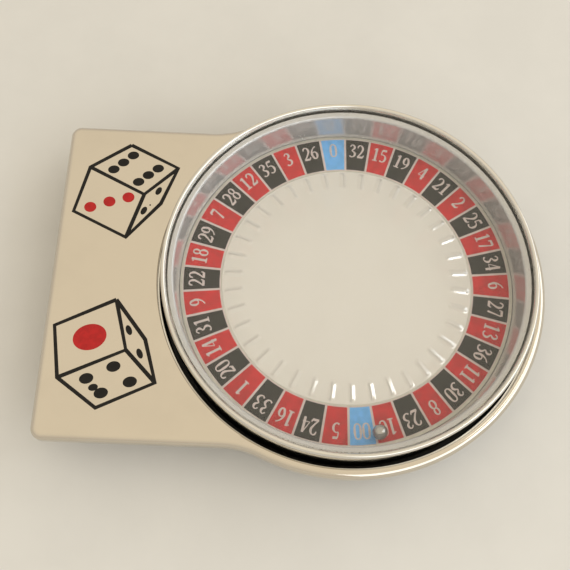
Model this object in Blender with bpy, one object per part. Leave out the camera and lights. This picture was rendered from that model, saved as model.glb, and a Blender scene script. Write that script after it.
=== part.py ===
"""Belt buckle with a working roulette wheel: a plate, a turning drum with a captive ball, and belt fittings.

The axes: +X runs along the plate towards its round end, +Y up the plate, +Z out of its front.
The origin lies under the middle of the outline, on the surface that the buckle rests on.
"""

import math

import bmesh
import bpy

MM = 0.001

# Clearances
GAP = 0.3 * MM
SHAFT_CLEARANCE = 0.1 * MM
BALL_CLEARANCE = 0.1 * MM
RIM_CLEARANCE = 0.6 * MM
CUT_OVERRUN = 1.0 * MM
MERGE_DISTANCE = 0.001 * MM

# The printed ring of numbers, whose size the whole drum follows
PRINT_RADIUS = 27.0 * MM
PRINT_WIDTH = 6.12 * MM
PRINT_THICKNESS = 0.25 * MM
PRINT_MARGIN = 0.2 * MM
POCKETS = 38
ZERO_TURN = math.radians(-5.9)

# The polished disc with its pressed frets
DISC_SHEET = 0.4 * MM
FRET_LENGTH = 3.5 * MM
FRET_WIDTH = 0.7 * MM
FRET_HEIGHT = 0.28 * MM
FRET_INSET = 0.2 * MM
FRET_TURN = math.radians(-1.5)

# The drum: bowl, inner wall, cover and bezel
BOWL_SHEET = 0.6 * MM
BOWL_WALL = 0.5 * MM
INNER_WALL = 0.7 * MM
INNER_WALL_HEIGHT = 5.5 * MM
INNER_WALL_CHAMFER = 0.25 * MM
COVER_THICKNESS = 0.6 * MM
COVER_OVERLAP = 0.05 * MM
BEZEL_SHEET = 0.7 * MM
BEZEL_LIP = 0.5 * MM
BEZEL_LIP_REACH = 0.4 * MM
BEZEL_BEAD = 0.35 * MM
BEZEL_CURL = 0.4 * MM
BEZEL_CURL_REACH = 1.1 * MM

# The steel ball
BALL_RADIUS = 1.19 * MM
BALL_FROM_WALL = 0.9 * MM
BALL_TURN = math.radians(168.2)

# The front plate
PLATE_ABOVE_PRINT = 2.8 * MM
PLATE_SHEET = 0.8 * MM
PLATE_RIM = 2.4 * MM
PLATE_RIM_WIDTH = 1.4 * MM
PLATE_SEAT = 0.25 * MM
PLATE_ROUND = 1.1 * MM
PLATE_STEP_ABOVE = 6.5 * MM
PLATE_STEP_BELOW = 4.1 * MM
PLATE_CORNER = 1.8 * MM
PLATE_FILLET = 15.0 * MM

# The cup behind the plate
CUP_SHEET = 0.55 * MM
CUP_CORNER = 0.9 * MM

# The pivot that the drum turns on
PIVOT_RADIUS = 2.3 * MM
PIVOT_NECK = 1.8 * MM
PIVOT_GROOVE_DEPTH = 0.6 * MM
PIVOT_TIP = 0.35 * MM
PIVOT_HEAD_RADIUS = 4.0 * MM
PIVOT_HEAD = 0.6 * MM
BACK_WASHER_RADIUS = 5.0 * MM
BACK_WASHER = 0.3 * MM
THRUST_WASHER_RADIUS = 8.0 * MM
THRUST_WASHER = 0.4 * MM
BUSH_WALL = 1.2 * MM
BUSH_FLANGE_RADIUS = 5.0 * MM
BUSH_FLANGE = 0.35 * MM
CLIP_RADIUS = 4.1 * MM
CLIP_THICKNESS = 0.35 * MM
CLIP_SLACK = 0.15 * MM
CLIP_MOUTH = 2.4 * MM

# The belt stud on the back
STUD_HEIGHT = 4.4 * MM
STUD_FROM_EDGE = 12.15 * MM
STUD_HEAD_RADIUS = 3.2 * MM
STUD_HEAD = 1.2 * MM
STUD_HEAD_ROUND = 0.4 * MM
STUD_SHANK = 1.9 * MM
STUD_NECK = 1.2 * MM
STUD_WASHER_RADIUS = 3.0 * MM
STUD_WASHER = 0.5 * MM
STUD_RIVET_RADIUS = 2.2 * MM
STUD_RIVET = 0.3 * MM

# The wire loop for the belt and its two lugs
WIRE_RADIUS = 1.1 * MM
LOOP_ARM = 11.5 * MM
LOOP_STANDOFF = 3.65 * MM
LOOP_COVER = 0.5 * MM
LOOP_CORNER = 3.0 * MM
LOOP_ELBOW = 1.3 * MM
LOOP_PIN_END = 0.8 * MM
LUG_SHEET = 0.8 * MM
LUG_WIDTH = 5.0 * MM
LUG_DROP = 3.5 * MM
LUG_FOOT = 5.0 * MM
LUG_FROM_RIM = 2.6 * MM

# How finely round shapes are drawn
ROUND_STEPS = 2 * POCKETS
SMALL_STEPS = 32
ARC_STEPS = 6
EDGE_STEPS = 3
BALL_RINGS = 12
SHARP_ANGLE = math.radians(35.0)

# Levels, from the resting surface up
CUP_BACK = STUD_HEIGHT
CUP_FLOOR = CUP_BACK + CUP_SHEET
WASHER_BASE = CUP_FLOOR + GAP
BOWL_BASE = WASHER_BASE + max(THRUST_WASHER, BEZEL_CURL) + GAP
BOWL_FLOOR = BOWL_BASE + BOWL_SHEET
DISC_BASE = BOWL_FLOOR + GAP
DISC_RIM_TOP = DISC_BASE + DISC_SHEET
PRINT_BASE = DISC_RIM_TOP + GAP
PRINT_TOP = PRINT_BASE + PRINT_THICKNESS
WALL_TOP = PRINT_TOP + INNER_WALL_HEIGHT
COVER_BASE = WALL_TOP + GAP
COVER_TOP = COVER_BASE + COVER_THICKNESS
LIP_BASE = COVER_TOP + GAP
BEZEL_TOP = LIP_BASE + BEZEL_LIP
PLATE_TOP = PRINT_TOP + PLATE_ABOVE_PRINT
PLATE_BACK = PLATE_TOP - PLATE_SHEET
PLATE_FOOT = PLATE_TOP - PLATE_RIM
BUSH_FLANGE_BASE = BOWL_FLOOR + GAP
BUSH_TOP = BUSH_FLANGE_BASE + BUSH_FLANGE
CLIP_BASE = BUSH_TOP + GAP
CLIP_TOP = CLIP_BASE + CLIP_THICKNESS
PIVOT_TOP = CLIP_TOP + CLIP_SLACK + PIVOT_TIP
LOOP_LEVEL = PLATE_BACK - LUG_DROP
DISC_RISE = PIVOT_TOP + GAP + DISC_SHEET - PRINT_TOP

# Radii, from the printed ring out
PRINT_BORE = PRINT_RADIUS - PRINT_WIDTH
WALL_BORE = PRINT_RADIUS + PRINT_MARGIN + GAP
WALL_OUTSIDE = WALL_BORE + INNER_WALL
BOWL_BORE = WALL_OUTSIDE + GAP
BOWL_OUTSIDE = BOWL_BORE + BOWL_WALL
COVER_RADIUS = BOWL_OUTSIDE + COVER_OVERLAP
BEZEL_BORE = BOWL_OUTSIDE + GAP
BEZEL_OUTSIDE = BEZEL_BORE + BEZEL_SHEET
CUP_BORE = BEZEL_OUTSIDE + RIM_CLEARANCE
CUP_OUTSIDE = CUP_BORE + CUP_SHEET
PLATE_BORE = CUP_OUTSIDE - PLATE_SEAT
PLATE_END = PLATE_BORE + PLATE_RIM_WIDTH
DISC_RADIUS = BOWL_BORE - GAP
DISC_STEP = PRINT_BORE - GAP
BUSH_BORE = PIVOT_RADIUS + SHAFT_CLEARANCE
BUSH_OUTSIDE = BUSH_BORE + BUSH_WALL
BALL_ORBIT = WALL_BORE - BALL_FROM_WALL - BALL_RADIUS

# Places in the plan
LOOP_OFFSET = CUP_OUTSIDE + LOOP_STANDOFF
PLATE_REACH = LOOP_OFFSET + LOOP_ARM + WIRE_RADIUS + LOOP_COVER
WHEEL_X = (PLATE_REACH - PLATE_END) / 2
PLATE_UPPER = PLATE_END - PLATE_STEP_ABOVE
PLATE_LOWER = PLATE_STEP_BELOW - PLATE_END
PLATE_MIDDLE = (PLATE_UPPER + PLATE_LOWER) / 2
STUD_OFFSET = CUP_OUTSIDE - STUD_FROM_EDGE
LUG_OUTER = (PLATE_UPPER - PLATE_LOWER) / 2 - PLATE_SHEET - LUG_FROM_RIM
LUG_INNER = LUG_OUTER - LUG_SHEET
LOOP_HALF = LUG_INNER - GAP - LOOP_ELBOW
LOOP_X = WHEEL_X - LOOP_OFFSET
LOOP_REST = math.asin((LOOP_LEVEL - WIRE_RADIUS) / LOOP_ARM)


def material(name, colour, roughness, metallic, alpha=1.0):
    made = bpy.data.materials.new(name)
    made.use_nodes = True
    shader = made.node_tree.nodes["Principled BSDF"]
    shader.inputs["Base Color"].default_value = (*colour, 1.0)
    shader.inputs["Roughness"].default_value = roughness
    shader.inputs["Metallic"].default_value = metallic
    shader.inputs["Alpha"].default_value = alpha
    return made


def add_object(name, mesh, look, parent=None, location=(0, 0, 0)):
    """Put a mesh or a curve in the scene under its own name and material."""
    made = bpy.data.objects.new(name, mesh)
    bpy.context.collection.objects.link(made)
    mesh.materials.append(look)
    made.parent = parent
    made.location = location
    return made


def to_mesh(name, bm):
    """Turn a finished bmesh into a mesh with outward faces and sharp edges where the shape turns."""
    bmesh.ops.recalc_face_normals(bm, faces=bm.faces)
    mesh = bpy.data.meshes.new(name)
    bm.to_mesh(mesh)
    bm.free()
    mesh.shade_smooth()
    mesh.set_sharp_from_angle(angle=SHARP_ANGLE)
    return mesh


def arc(centre, radius, start, end, steps):
    """Points along an arc, both ends included, with the angles in degrees."""
    points = []
    for i in range(steps + 1):
        angle = math.radians(start + (end - start) * i / steps)
        points.append((centre[0] + radius * math.cos(angle), centre[1] + radius * math.sin(angle)))
    return points


def turned(name, profile, steps=ROUND_STEPS):
    """Spin a closed outline of (radius, height) points about Z. A point on the axis closes to a pole."""
    bm = bmesh.new()
    verts = [bm.verts.new((r, 0, z)) for r, z in profile]
    edges = [bm.edges.new((a, b)) for a, b in zip(verts, verts[1:])]
    if profile[0][0] > 0:
        edges.append(bm.edges.new((verts[-1], verts[0])))
    bmesh.ops.spin(
        bm, geom=verts + edges, cent=(0, 0, 0), axis=(0, 0, 1), angle=math.tau, steps=steps, use_merge=True
    )
    bmesh.ops.remove_doubles(bm, verts=bm.verts, dist=MERGE_DISTANCE)
    return to_mesh(name, bm)


def ring_profile(inner, outer, base, top):
    return [(inner, base), (outer, base), (outer, top), (inner, top)]


def empty(name, location, turn=0.0):
    made = bpy.data.objects.new(name, None)
    bpy.context.collection.objects.link(made)
    made.location = location
    made.rotation_euler = (0, 0, turn)
    return made


def plate_outline(inset):
    """The plate seen from the front, drawn smaller all round by the inset, about the wheel's middle."""
    end = PLATE_END - inset
    top = PLATE_UPPER - inset
    bottom = PLATE_LOWER + inset
    left = inset - PLATE_REACH
    corner = PLATE_CORNER - inset
    fillet = PLATE_FILLET + inset

    def fillet_centre(edge):
        rise = abs(edge) + fillet
        return -math.sqrt((end + fillet) ** 2 - rise**2), math.copysign(rise, edge)

    low = fillet_centre(bottom)
    high = fillet_centre(top)
    low_angle = math.degrees(math.atan2(-low[1], -low[0]))
    high_angle = math.degrees(math.atan2(-high[1], -high[0]))
    points = arc((0, 0), end, low_angle - 180, high_angle + 180, ROUND_STEPS)
    points += arc(high, fillet, high_angle, -90, ARC_STEPS)[1:]
    points += arc((left + corner, top - corner), corner, 90, 180, ARC_STEPS)
    points += arc((left + corner, bottom + corner), corner, 180, 270, ARC_STEPS)
    points += arc(low, fillet, 90, low_angle, ARC_STEPS)[:-1]
    return points


def circle(radius, steps=ROUND_STEPS):
    return arc((0, 0), radius, 0, 360, steps)[:-1]


def add_loop(bm, points, level):
    return [bm.verts.new((x, y, level)) for x, y in points]


def bridge(bm, lower, upper):
    """Join two rings with the same number of points by a band of faces."""
    for i in range(len(lower)):
        j = (i + 1) % len(lower)
        bm.faces.new((lower[i], lower[j], upper[j], upper[i]))


def fill_between(bm, outer, inner):
    """Fill a flat area between an outer ring and a hole."""
    edges = []
    for ring in (outer, inner):
        for i, vert in enumerate(ring):
            edges.append(bm.edges.get((vert, ring[i - 1])) or bm.edges.new((vert, ring[i - 1])))
    bmesh.ops.triangle_fill(bm, use_beauty=True, edges=edges)


def front_plate():
    """One pressed sheet: a flat face with a turned-down rim and a round hole for the drum."""
    bm = bmesh.new()
    foot = add_loop(bm, plate_outline(0), PLATE_FOOT)
    rings = [foot]
    for i in range(EDGE_STEPS + 1):
        angle = math.radians(90 * i / EDGE_STEPS)
        inset = PLATE_ROUND * (1 - math.cos(angle))
        rings.append(add_loop(bm, plate_outline(inset), PLATE_TOP - PLATE_ROUND * (1 - math.sin(angle))))
    for lower, upper in zip(rings, rings[1:]):
        bridge(bm, lower, upper)
    inner_foot = add_loop(bm, plate_outline(PLATE_SHEET), PLATE_FOOT)
    inner_top = add_loop(bm, plate_outline(PLATE_SHEET), PLATE_BACK)
    hole_top = add_loop(bm, circle(PLATE_BORE), PLATE_TOP)
    hole_back = add_loop(bm, circle(PLATE_BORE), PLATE_BACK)
    bridge(bm, inner_foot, foot)
    bridge(bm, inner_top, inner_foot)
    bridge(bm, hole_top, hole_back)
    fill_between(bm, rings[-1], hole_top)
    fill_between(bm, inner_top, hole_back)
    return to_mesh("front_plate", bm)


def rear_cup():
    """A drawn cup, with a hole in the middle for the pivot."""
    corner = arc((CUP_OUTSIDE - CUP_CORNER, CUP_BACK + CUP_CORNER), CUP_CORNER, -90, 0, EDGE_STEPS)
    inner = arc(
        (CUP_OUTSIDE - CUP_CORNER, CUP_BACK + CUP_CORNER), CUP_CORNER - CUP_SHEET, 0, -90, EDGE_STEPS
    )
    hole = PIVOT_NECK + GAP
    top = PLATE_BACK - GAP
    rim = [(CUP_OUTSIDE, top), (CUP_BORE, top)]
    profile = [(hole, CUP_BACK)] + corner + rim + inner + [(hole, CUP_FLOOR)]
    return turned("rear_cup", profile)


def pivot_post():
    """A shouldered rivet: a head behind the cup, a shoulder on its floor and a groove for the clip."""
    groove = PIVOT_RADIUS - PIVOT_GROOVE_DEPTH
    head_top = CUP_BACK - GAP - BACK_WASHER - GAP
    head = arc((PIVOT_HEAD_RADIUS - PIVOT_HEAD, head_top), PIVOT_HEAD, -90, 0, EDGE_STEPS)
    profile = [(0, head_top - PIVOT_HEAD)] + head + [
        (PIVOT_NECK, head_top),
        (PIVOT_NECK, WASHER_BASE),
        (PIVOT_RADIUS, WASHER_BASE),
        (PIVOT_RADIUS, CLIP_BASE - CLIP_SLACK),
        (groove, CLIP_BASE - CLIP_SLACK),
        (groove, CLIP_TOP + CLIP_SLACK),
        (PIVOT_RADIUS, CLIP_TOP + CLIP_SLACK),
        (PIVOT_RADIUS, PIVOT_TOP),
        (0, PIVOT_TOP),
    ]
    return turned("pivot_post", profile, SMALL_STEPS)


def pivot_washer():
    top = CUP_BACK - GAP
    profile = ring_profile(PIVOT_NECK + GAP, BACK_WASHER_RADIUS, top - BACK_WASHER, top)
    return turned("pivot_washer", profile, SMALL_STEPS)


def thrust_washer():
    profile = ring_profile(PIVOT_RADIUS + GAP, THRUST_WASHER_RADIUS, WASHER_BASE, WASHER_BASE + THRUST_WASHER)
    return turned("thrust_washer", profile, SMALL_STEPS)


def retaining_clip():
    """An open ring that snaps into the pivot's groove from the side."""
    inner = PIVOT_RADIUS - PIVOT_GROOVE_DEPTH + SHAFT_CLEARANCE
    half_mouth = math.degrees(math.asin(CLIP_MOUTH / 2 / CLIP_RADIUS))
    inner_mouth = math.degrees(math.asin(CLIP_MOUTH / 2 / inner))
    outline = arc((0, 0), CLIP_RADIUS, half_mouth, 360 - half_mouth, SMALL_STEPS)
    outline += arc((0, 0), inner, 360 - inner_mouth, inner_mouth, SMALL_STEPS)
    bm = bmesh.new()
    lower = add_loop(bm, outline, CLIP_BASE)
    upper = add_loop(bm, outline, CLIP_TOP)
    bridge(bm, lower, upper)
    half = len(outline) // 2
    for ring in (lower, upper):
        for i in range(half - 1):
            bm.faces.new((ring[i], ring[i + 1], ring[-2 - i], ring[-1 - i]))
    return to_mesh("retaining_clip", bm)


def drum_bush():
    """A flanged bush in the bowl's floor, which turns on the pivot."""
    profile = [
        (BUSH_BORE, BOWL_BASE),
        (BUSH_OUTSIDE, BOWL_BASE),
        (BUSH_OUTSIDE, BUSH_FLANGE_BASE),
        (BUSH_FLANGE_RADIUS, BUSH_FLANGE_BASE),
        (BUSH_FLANGE_RADIUS, BUSH_TOP),
        (BUSH_BORE, BUSH_TOP),
    ]
    return turned("drum_bush", profile, SMALL_STEPS)


def drum_bowl():
    """A shallow spun bowl that holds the drum's other pieces."""
    profile = [
        (BUSH_OUTSIDE + GAP, BOWL_BASE),
        (BOWL_OUTSIDE, BOWL_BASE),
        (BOWL_OUTSIDE, WALL_TOP),
        (BOWL_BORE, WALL_TOP),
        (BOWL_BORE, BOWL_FLOOR),
        (BUSH_OUTSIDE + GAP, BOWL_FLOOR),
    ]
    return turned("drum_bowl", profile)


def dome(radius):
    """The polished disc's height at a radius: a shallow dome that ends level with the print."""
    return PRINT_TOP + DISC_RISE * (1 - (radius / DISC_STEP) ** 2)


def fret_disc():
    """A pressed disc: a seat for the printed ring round a shallow dome with a fret at each pocket's edge."""
    fret_end = DISC_STEP - FRET_INSET
    fret_start = fret_end - FRET_LENGTH
    ramp = FRET_WIDTH / 2
    columns = 3 * POCKETS
    sector = math.tau / POCKETS

    def column_angle(i, radius):
        side = (-1, 0, 1)[i % 3]
        crest = math.pi / 2 - ZERO_TURN - FRET_TURN + sector * (i // 3 + 0.5)
        return crest + side * FRET_WIDTH / 2 / radius

    def ring(radius, height, fret=0.0):
        verts = []
        for i in range(columns):
            angle = column_angle(i, max(radius, fret_start))
            lift = fret if i % 3 == 1 else 0.0
            verts.append(bm.verts.new((radius * math.cos(angle), radius * math.sin(angle), height + lift)))
        return verts

    bm = bmesh.new()
    inside = DISC_STEP - DISC_SHEET
    middle = fret_start / 2
    rings = [
        ring(middle, dome(middle)),
        ring(fret_start, dome(fret_start)),
        ring(fret_start + ramp, dome(fret_start + ramp), FRET_HEIGHT),
        ring(fret_end - ramp, dome(fret_end - ramp), FRET_HEIGHT),
        ring(fret_end, dome(fret_end)),
        ring(DISC_STEP, PRINT_TOP),
        ring(DISC_STEP, DISC_RIM_TOP),
        ring(DISC_RADIUS, DISC_RIM_TOP),
        ring(DISC_RADIUS, DISC_BASE),
        ring(inside, DISC_BASE),
        ring(inside, dome(inside) - DISC_SHEET),
        ring(middle, dome(middle) - DISC_SHEET),
    ]
    for lower, upper in zip(rings, rings[1:]):
        bridge(bm, lower, upper)
    for rim, height in ((rings[0], dome(0)), (rings[-1], dome(0) - DISC_SHEET)):
        pole = bm.verts.new((0, 0, height))
        for i, vert in enumerate(rim):
            bm.faces.new((pole, rim[i - 1], vert))
    return to_mesh("fret_disc", bm)


def number_ring():
    profile = ring_profile(PRINT_BORE, PRINT_RADIUS + PRINT_MARGIN, PRINT_BASE, PRINT_TOP)
    return turned("number_ring", profile)


def wall_ring():
    """The polished inner wall, which stands on the disc's edge and carries the cover."""
    profile = [
        (WALL_BORE, PRINT_BASE),
        (WALL_OUTSIDE, PRINT_BASE),
        (WALL_OUTSIDE, WALL_TOP),
        (WALL_BORE + INNER_WALL_CHAMFER, WALL_TOP),
        (WALL_BORE, WALL_TOP - INNER_WALL_CHAMFER),
    ]
    return turned("wall_ring", profile)


def clear_cover():
    profile = [(0, COVER_BASE), (COVER_RADIUS, COVER_BASE), (COVER_RADIUS, COVER_TOP), (0, COVER_TOP)]
    return turned("clear_cover", profile)


def bezel_ring():
    """The outer ring: a beaded lip over the cover's edge, a straight side and a curl under the bowl."""
    lip_bore = BEZEL_BORE - BEZEL_LIP_REACH
    curl_bore = BEZEL_BORE - BEZEL_CURL_REACH
    outer = arc((BEZEL_OUTSIDE - BEZEL_BEAD, BEZEL_TOP - BEZEL_BEAD), BEZEL_BEAD, 0, 90, EDGE_STEPS)
    inner = arc((lip_bore + BEZEL_BEAD, BEZEL_TOP - BEZEL_BEAD), BEZEL_BEAD, 90, 180, EDGE_STEPS)
    profile = [(curl_bore, WASHER_BASE), (BEZEL_OUTSIDE, WASHER_BASE)] + outer + inner + [
        (lip_bore, LIP_BASE),
        (BEZEL_BORE, LIP_BASE),
        (BEZEL_BORE, WASHER_BASE + BEZEL_CURL),
        (curl_bore, WASHER_BASE + BEZEL_CURL),
    ]
    return turned("bezel_ring", profile)


def steel_ball():
    bm = bmesh.new()
    bmesh.ops.create_uvsphere(bm, u_segments=2 * BALL_RINGS, v_segments=BALL_RINGS, radius=BALL_RADIUS)
    return to_mesh("steel_ball", bm)


def belt_stud():
    """A button stud: a flat head for the belt's hole, a shank, and a neck riveted over inside the cup."""
    head_low = arc(
        (STUD_HEAD_RADIUS - STUD_HEAD_ROUND, STUD_HEAD_ROUND), STUD_HEAD_ROUND, -90, 0, EDGE_STEPS
    )
    head_high = arc(
        (STUD_HEAD_RADIUS - STUD_HEAD_ROUND, STUD_HEAD - STUD_HEAD_ROUND), STUD_HEAD_ROUND, 0, 90, EDGE_STEPS
    )
    shoulder = CUP_BACK - GAP - STUD_WASHER - GAP
    rivet_base = CUP_FLOOR + GAP
    profile = [(0, 0)] + head_low + head_high + [
        (STUD_SHANK, STUD_HEAD),
        (STUD_SHANK, shoulder),
        (STUD_NECK, shoulder),
        (STUD_NECK, rivet_base),
        (STUD_RIVET_RADIUS, rivet_base),
        (STUD_RIVET_RADIUS, rivet_base + STUD_RIVET),
        (0, rivet_base + STUD_RIVET),
    ]
    return turned("belt_stud", profile, SMALL_STEPS)


def stud_washer():
    """A washer between the stud's shoulder and the thin cup."""
    top = CUP_BACK - GAP
    profile = ring_profile(STUD_NECK + GAP, STUD_WASHER_RADIUS, top - STUD_WASHER, top)
    return turned("stud_washer", profile, SMALL_STEPS)


def cutter(name, mesh, parent, location):
    made = bpy.data.objects.new(name, mesh)
    bpy.context.collection.objects.link(made)
    made.parent = parent
    made.location = location
    made.hide_render = True
    made.display_type = "WIRE"
    return made


def cut(target, tool):
    modifier = target.modifiers.new("cut", "BOOLEAN")
    modifier.operation = "DIFFERENCE"
    modifier.solver = "EXACT"
    modifier.object = tool


def loop_lug(name, side):
    """Build the ear and the foot as one closed shape, for the upper side (+1) or the lower side (-1)."""
    half = LUG_WIDTH / 2
    top = LUG_DROP - GAP
    under = top - LUG_SHEET
    hole = circle(WIRE_RADIUS + GAP, SMALL_STEPS)
    ear = arc((0, 0), half, 180, 360, 2 * ARC_STEPS)
    outer_points = [(half, top), (-half, top)] + ear
    inner_points = [(half, under), (-half, under)] + ear
    bm = bmesh.new()

    def upright(points, y):
        return [bm.verts.new((x, side * y, z)) for x, z in points]

    outer = upright(outer_points, LUG_OUTER)
    inner = upright(inner_points, LUG_INNER)
    outer_hole = upright(hole, LUG_OUTER)
    inner_hole = upright(hole, LUG_INNER)
    tip = LUG_OUTER - LUG_FOOT
    foot = upright([(half, top), (-half, top)], tip) + upright([(-half, under), (half, under)], tip)
    fill_between(bm, outer, outer_hole)
    fill_between(bm, inner, inner_hole)
    bridge(bm, outer_hole, inner_hole)
    for i in range(2, len(outer) - 1):
        bm.faces.new((outer[i], outer[i + 1], inner[i + 1], inner[i]))
    bm.faces.new((outer[1], outer[2], inner[2], inner[1], foot[2], foot[1]))
    bm.faces.new((outer[-1], outer[0], foot[0], foot[3], inner[0], inner[-1]))
    bm.faces.new((outer[0], outer[1], foot[1], foot[0]))
    bm.faces.new((inner[1], inner[0], foot[3], foot[2]))
    bm.faces.new((foot[0], foot[1], foot[2], foot[3]))
    return to_mesh(name, bm)


def belt_loop():
    """Round wire bent to a wide loop, its ends turned out into the lugs. It lies along -X from its pivot."""
    half = LOOP_HALF
    bar = LOOP_ARM
    pin = LUG_OUTER + LOOP_PIN_END
    side = [(0, pin), (0, half + LOOP_ELBOW)]
    side += arc((-LOOP_ELBOW, half + LOOP_ELBOW), LOOP_ELBOW, 0, -90, ARC_STEPS)[1:]
    side += arc((LOOP_CORNER - bar, half - LOOP_CORNER), LOOP_CORNER, 90, 180, ARC_STEPS)
    points = side + [(x, -y) for x, y in reversed(side)]
    curve = bpy.data.curves.new("belt_loop", "CURVE")
    curve.dimensions = "3D"
    curve.bevel_depth = WIRE_RADIUS
    curve.bevel_resolution = 4
    curve.use_fill_caps = True
    spline = curve.splines.new("POLY")
    spline.points.add(len(points) - 1)
    for point, (x, y) in zip(spline.points, points):
        point.co = (x, y, 0, 1)
    return curve


def build():
    for old in list(bpy.data.objects):
        bpy.data.objects.remove(old)

    chrome = (0.86, 0.85, 0.83)
    steel = (0.62, 0.62, 0.6)
    brass = (0.78, 0.62, 0.32)
    case = empty("case", (WHEEL_X, 0, 0))
    wheel = empty("wheel_spin", (WHEEL_X, 0, 0))
    orbit = empty("ball_orbit", (WHEEL_X, 0, 0), math.pi / 2 - BALL_TURN)

    add_object("front_plate", front_plate(), material("plated_front", chrome, 0.08, 1.0), case)
    cup = add_object("rear_cup", rear_cup(), material("plated_cup", chrome, 0.2, 1.0), case)
    stud_place = (STUD_OFFSET, 0, 0)
    hole_top = CUP_FLOOR + CUT_OVERRUN
    hole_base = CUP_BACK - CUT_OVERRUN
    hole_radius = STUD_NECK + GAP
    hole = [(0, hole_base), (hole_radius, hole_base), (hole_radius, hole_top), (0, hole_top)]
    cut(cup, cutter("stud_hole", turned("stud_hole", hole, SMALL_STEPS), case, stud_place))
    add_object("pivot_post", pivot_post(), material("turned_pivot", steel, 0.3, 1.0), case)
    add_object("pivot_washer", pivot_washer(), material("plated_washer", steel, 0.3, 1.0), case)
    add_object("thrust_washer", thrust_washer(), material("nylon", (0.85, 0.84, 0.78), 0.5, 0.0), case)
    add_object("retaining_clip", retaining_clip(), material("spring_steel", (0.3, 0.3, 0.3), 0.35, 1.0), case)
    add_object("belt_stud", belt_stud(), material("plated_stud", chrome, 0.2, 1.0), case, stud_place)
    add_object("stud_washer", stud_washer(), material("stud_washer", steel, 0.3, 1.0), case, stud_place)

    add_object("drum_bowl", drum_bowl(), material("spun_bowl", steel, 0.25, 1.0), wheel)
    add_object("drum_bush", drum_bush(), material("brass_bush", brass, 0.3, 1.0), wheel)
    add_object("fret_disc", fret_disc(), material("polished_disc", chrome, 0.05, 1.0), wheel)
    add_object("number_ring", number_ring(), material("printed_ring", (0.6, 0.12, 0.13), 0.4, 0.0), wheel)
    add_object("wall_ring", wall_ring(), material("polished_wall", chrome, 0.05, 1.0), wheel)
    clear = material("clear_plastic", (1.0, 1.0, 1.0), 0.03, 0.0, 0.2)
    add_object("clear_cover", clear_cover(), clear, wheel)
    add_object("bezel_ring", bezel_ring(), material("plated_bezel", chrome, 0.08, 1.0), wheel)

    ball_level = PRINT_TOP + BALL_CLEARANCE + BALL_RADIUS
    ball_place = (BALL_ORBIT, 0, ball_level)
    add_object("steel_ball", steel_ball(), material("ball_steel", steel, 0.1, 1.0), orbit, ball_place)

    loop_axis = empty("loop_hinge", (LOOP_X, PLATE_MIDDLE, LOOP_LEVEL))
    wire = add_object("belt_loop", belt_loop(), material("plated_wire", chrome, 0.2, 1.0), loop_axis)
    wire.rotation_euler = (0, -LOOP_REST, 0)
    for name, side in (("loop_lug_upper", 1), ("loop_lug_lower", -1)):
        add_object(name, loop_lug(name, side), material(name, steel, 0.3, 1.0), loop_axis)


build()
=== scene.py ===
# %% [markdown]
# # A roulette belt buckle
# This lesson dresses a small machine whose solids are already modelled: a plated
# buckle with a roulette wheel under a clear cover. The solids are loaded first, as
# a fixed frame. The pieces that show their shape in a reflection are then made
# again with finer curves, because polished metal shows every flat facet.

# %% Load the frame
import math

import bmesh
import bpy
from mathutils import Matrix, Vector


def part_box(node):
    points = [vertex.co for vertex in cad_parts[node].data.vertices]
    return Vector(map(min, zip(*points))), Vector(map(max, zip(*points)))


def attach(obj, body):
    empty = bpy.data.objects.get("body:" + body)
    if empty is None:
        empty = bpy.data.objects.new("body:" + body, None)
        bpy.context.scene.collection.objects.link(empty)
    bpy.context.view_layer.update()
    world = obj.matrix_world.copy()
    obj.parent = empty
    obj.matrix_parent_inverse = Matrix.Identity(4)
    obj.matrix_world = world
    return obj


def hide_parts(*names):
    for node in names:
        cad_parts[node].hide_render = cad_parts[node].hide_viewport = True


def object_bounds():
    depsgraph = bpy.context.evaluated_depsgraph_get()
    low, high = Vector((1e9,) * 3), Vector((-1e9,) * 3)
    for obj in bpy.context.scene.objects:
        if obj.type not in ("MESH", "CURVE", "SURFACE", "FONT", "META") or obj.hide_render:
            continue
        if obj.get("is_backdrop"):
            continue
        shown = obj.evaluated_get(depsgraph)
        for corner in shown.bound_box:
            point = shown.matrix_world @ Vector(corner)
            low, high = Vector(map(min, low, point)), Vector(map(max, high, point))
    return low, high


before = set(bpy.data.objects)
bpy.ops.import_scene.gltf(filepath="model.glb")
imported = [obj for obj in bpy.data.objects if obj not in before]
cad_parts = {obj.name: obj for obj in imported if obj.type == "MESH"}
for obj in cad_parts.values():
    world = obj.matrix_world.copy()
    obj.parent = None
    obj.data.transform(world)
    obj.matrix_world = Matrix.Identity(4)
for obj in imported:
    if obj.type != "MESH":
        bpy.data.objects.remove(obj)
CAD_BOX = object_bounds()
MM = 0.001


def box_mm(node):
    """A node's lowest and highest corners, in millimetres."""
    low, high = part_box(node)
    return [value / MM for value in low], [value / MM for value in high]


def box_corners(node):
    """The same two corners as vectors."""
    return [Vector(corner) for corner in box_mm(node)]


# %% [markdown]
# ## Sizes from the frame
# Every round piece of the drum turns about one axis. The lesson reads its place and
# most outer radii from the solids' boxes, and doesn't type them again.

# %% Read the drum's axis and levels
bezel_low, bezel_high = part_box("bezel_ring")
AXIS = Vector(((bezel_low[0] + bezel_high[0]) / 2, 0, 0)) / MM


def levels(node):
    """The heights of a node's underside and top."""
    low, high = box_mm(node)
    return low[2], high[2]


def radius_of(node):
    """Half of a round node's width."""
    low, high = box_mm(node)
    return (high[0] - low[0]) / 2


PRINT_TOP = levels("number_ring")[1]
COVER_BASE, COVER_TOP = levels("clear_cover")
BEZEL_BASE, BEZEL_TOP = levels("bezel_ring")
print("axis at x", round(AXIS.x, 2), "print at", round(PRINT_TOP, 2), "top at", round(BEZEL_TOP, 2))

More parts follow.
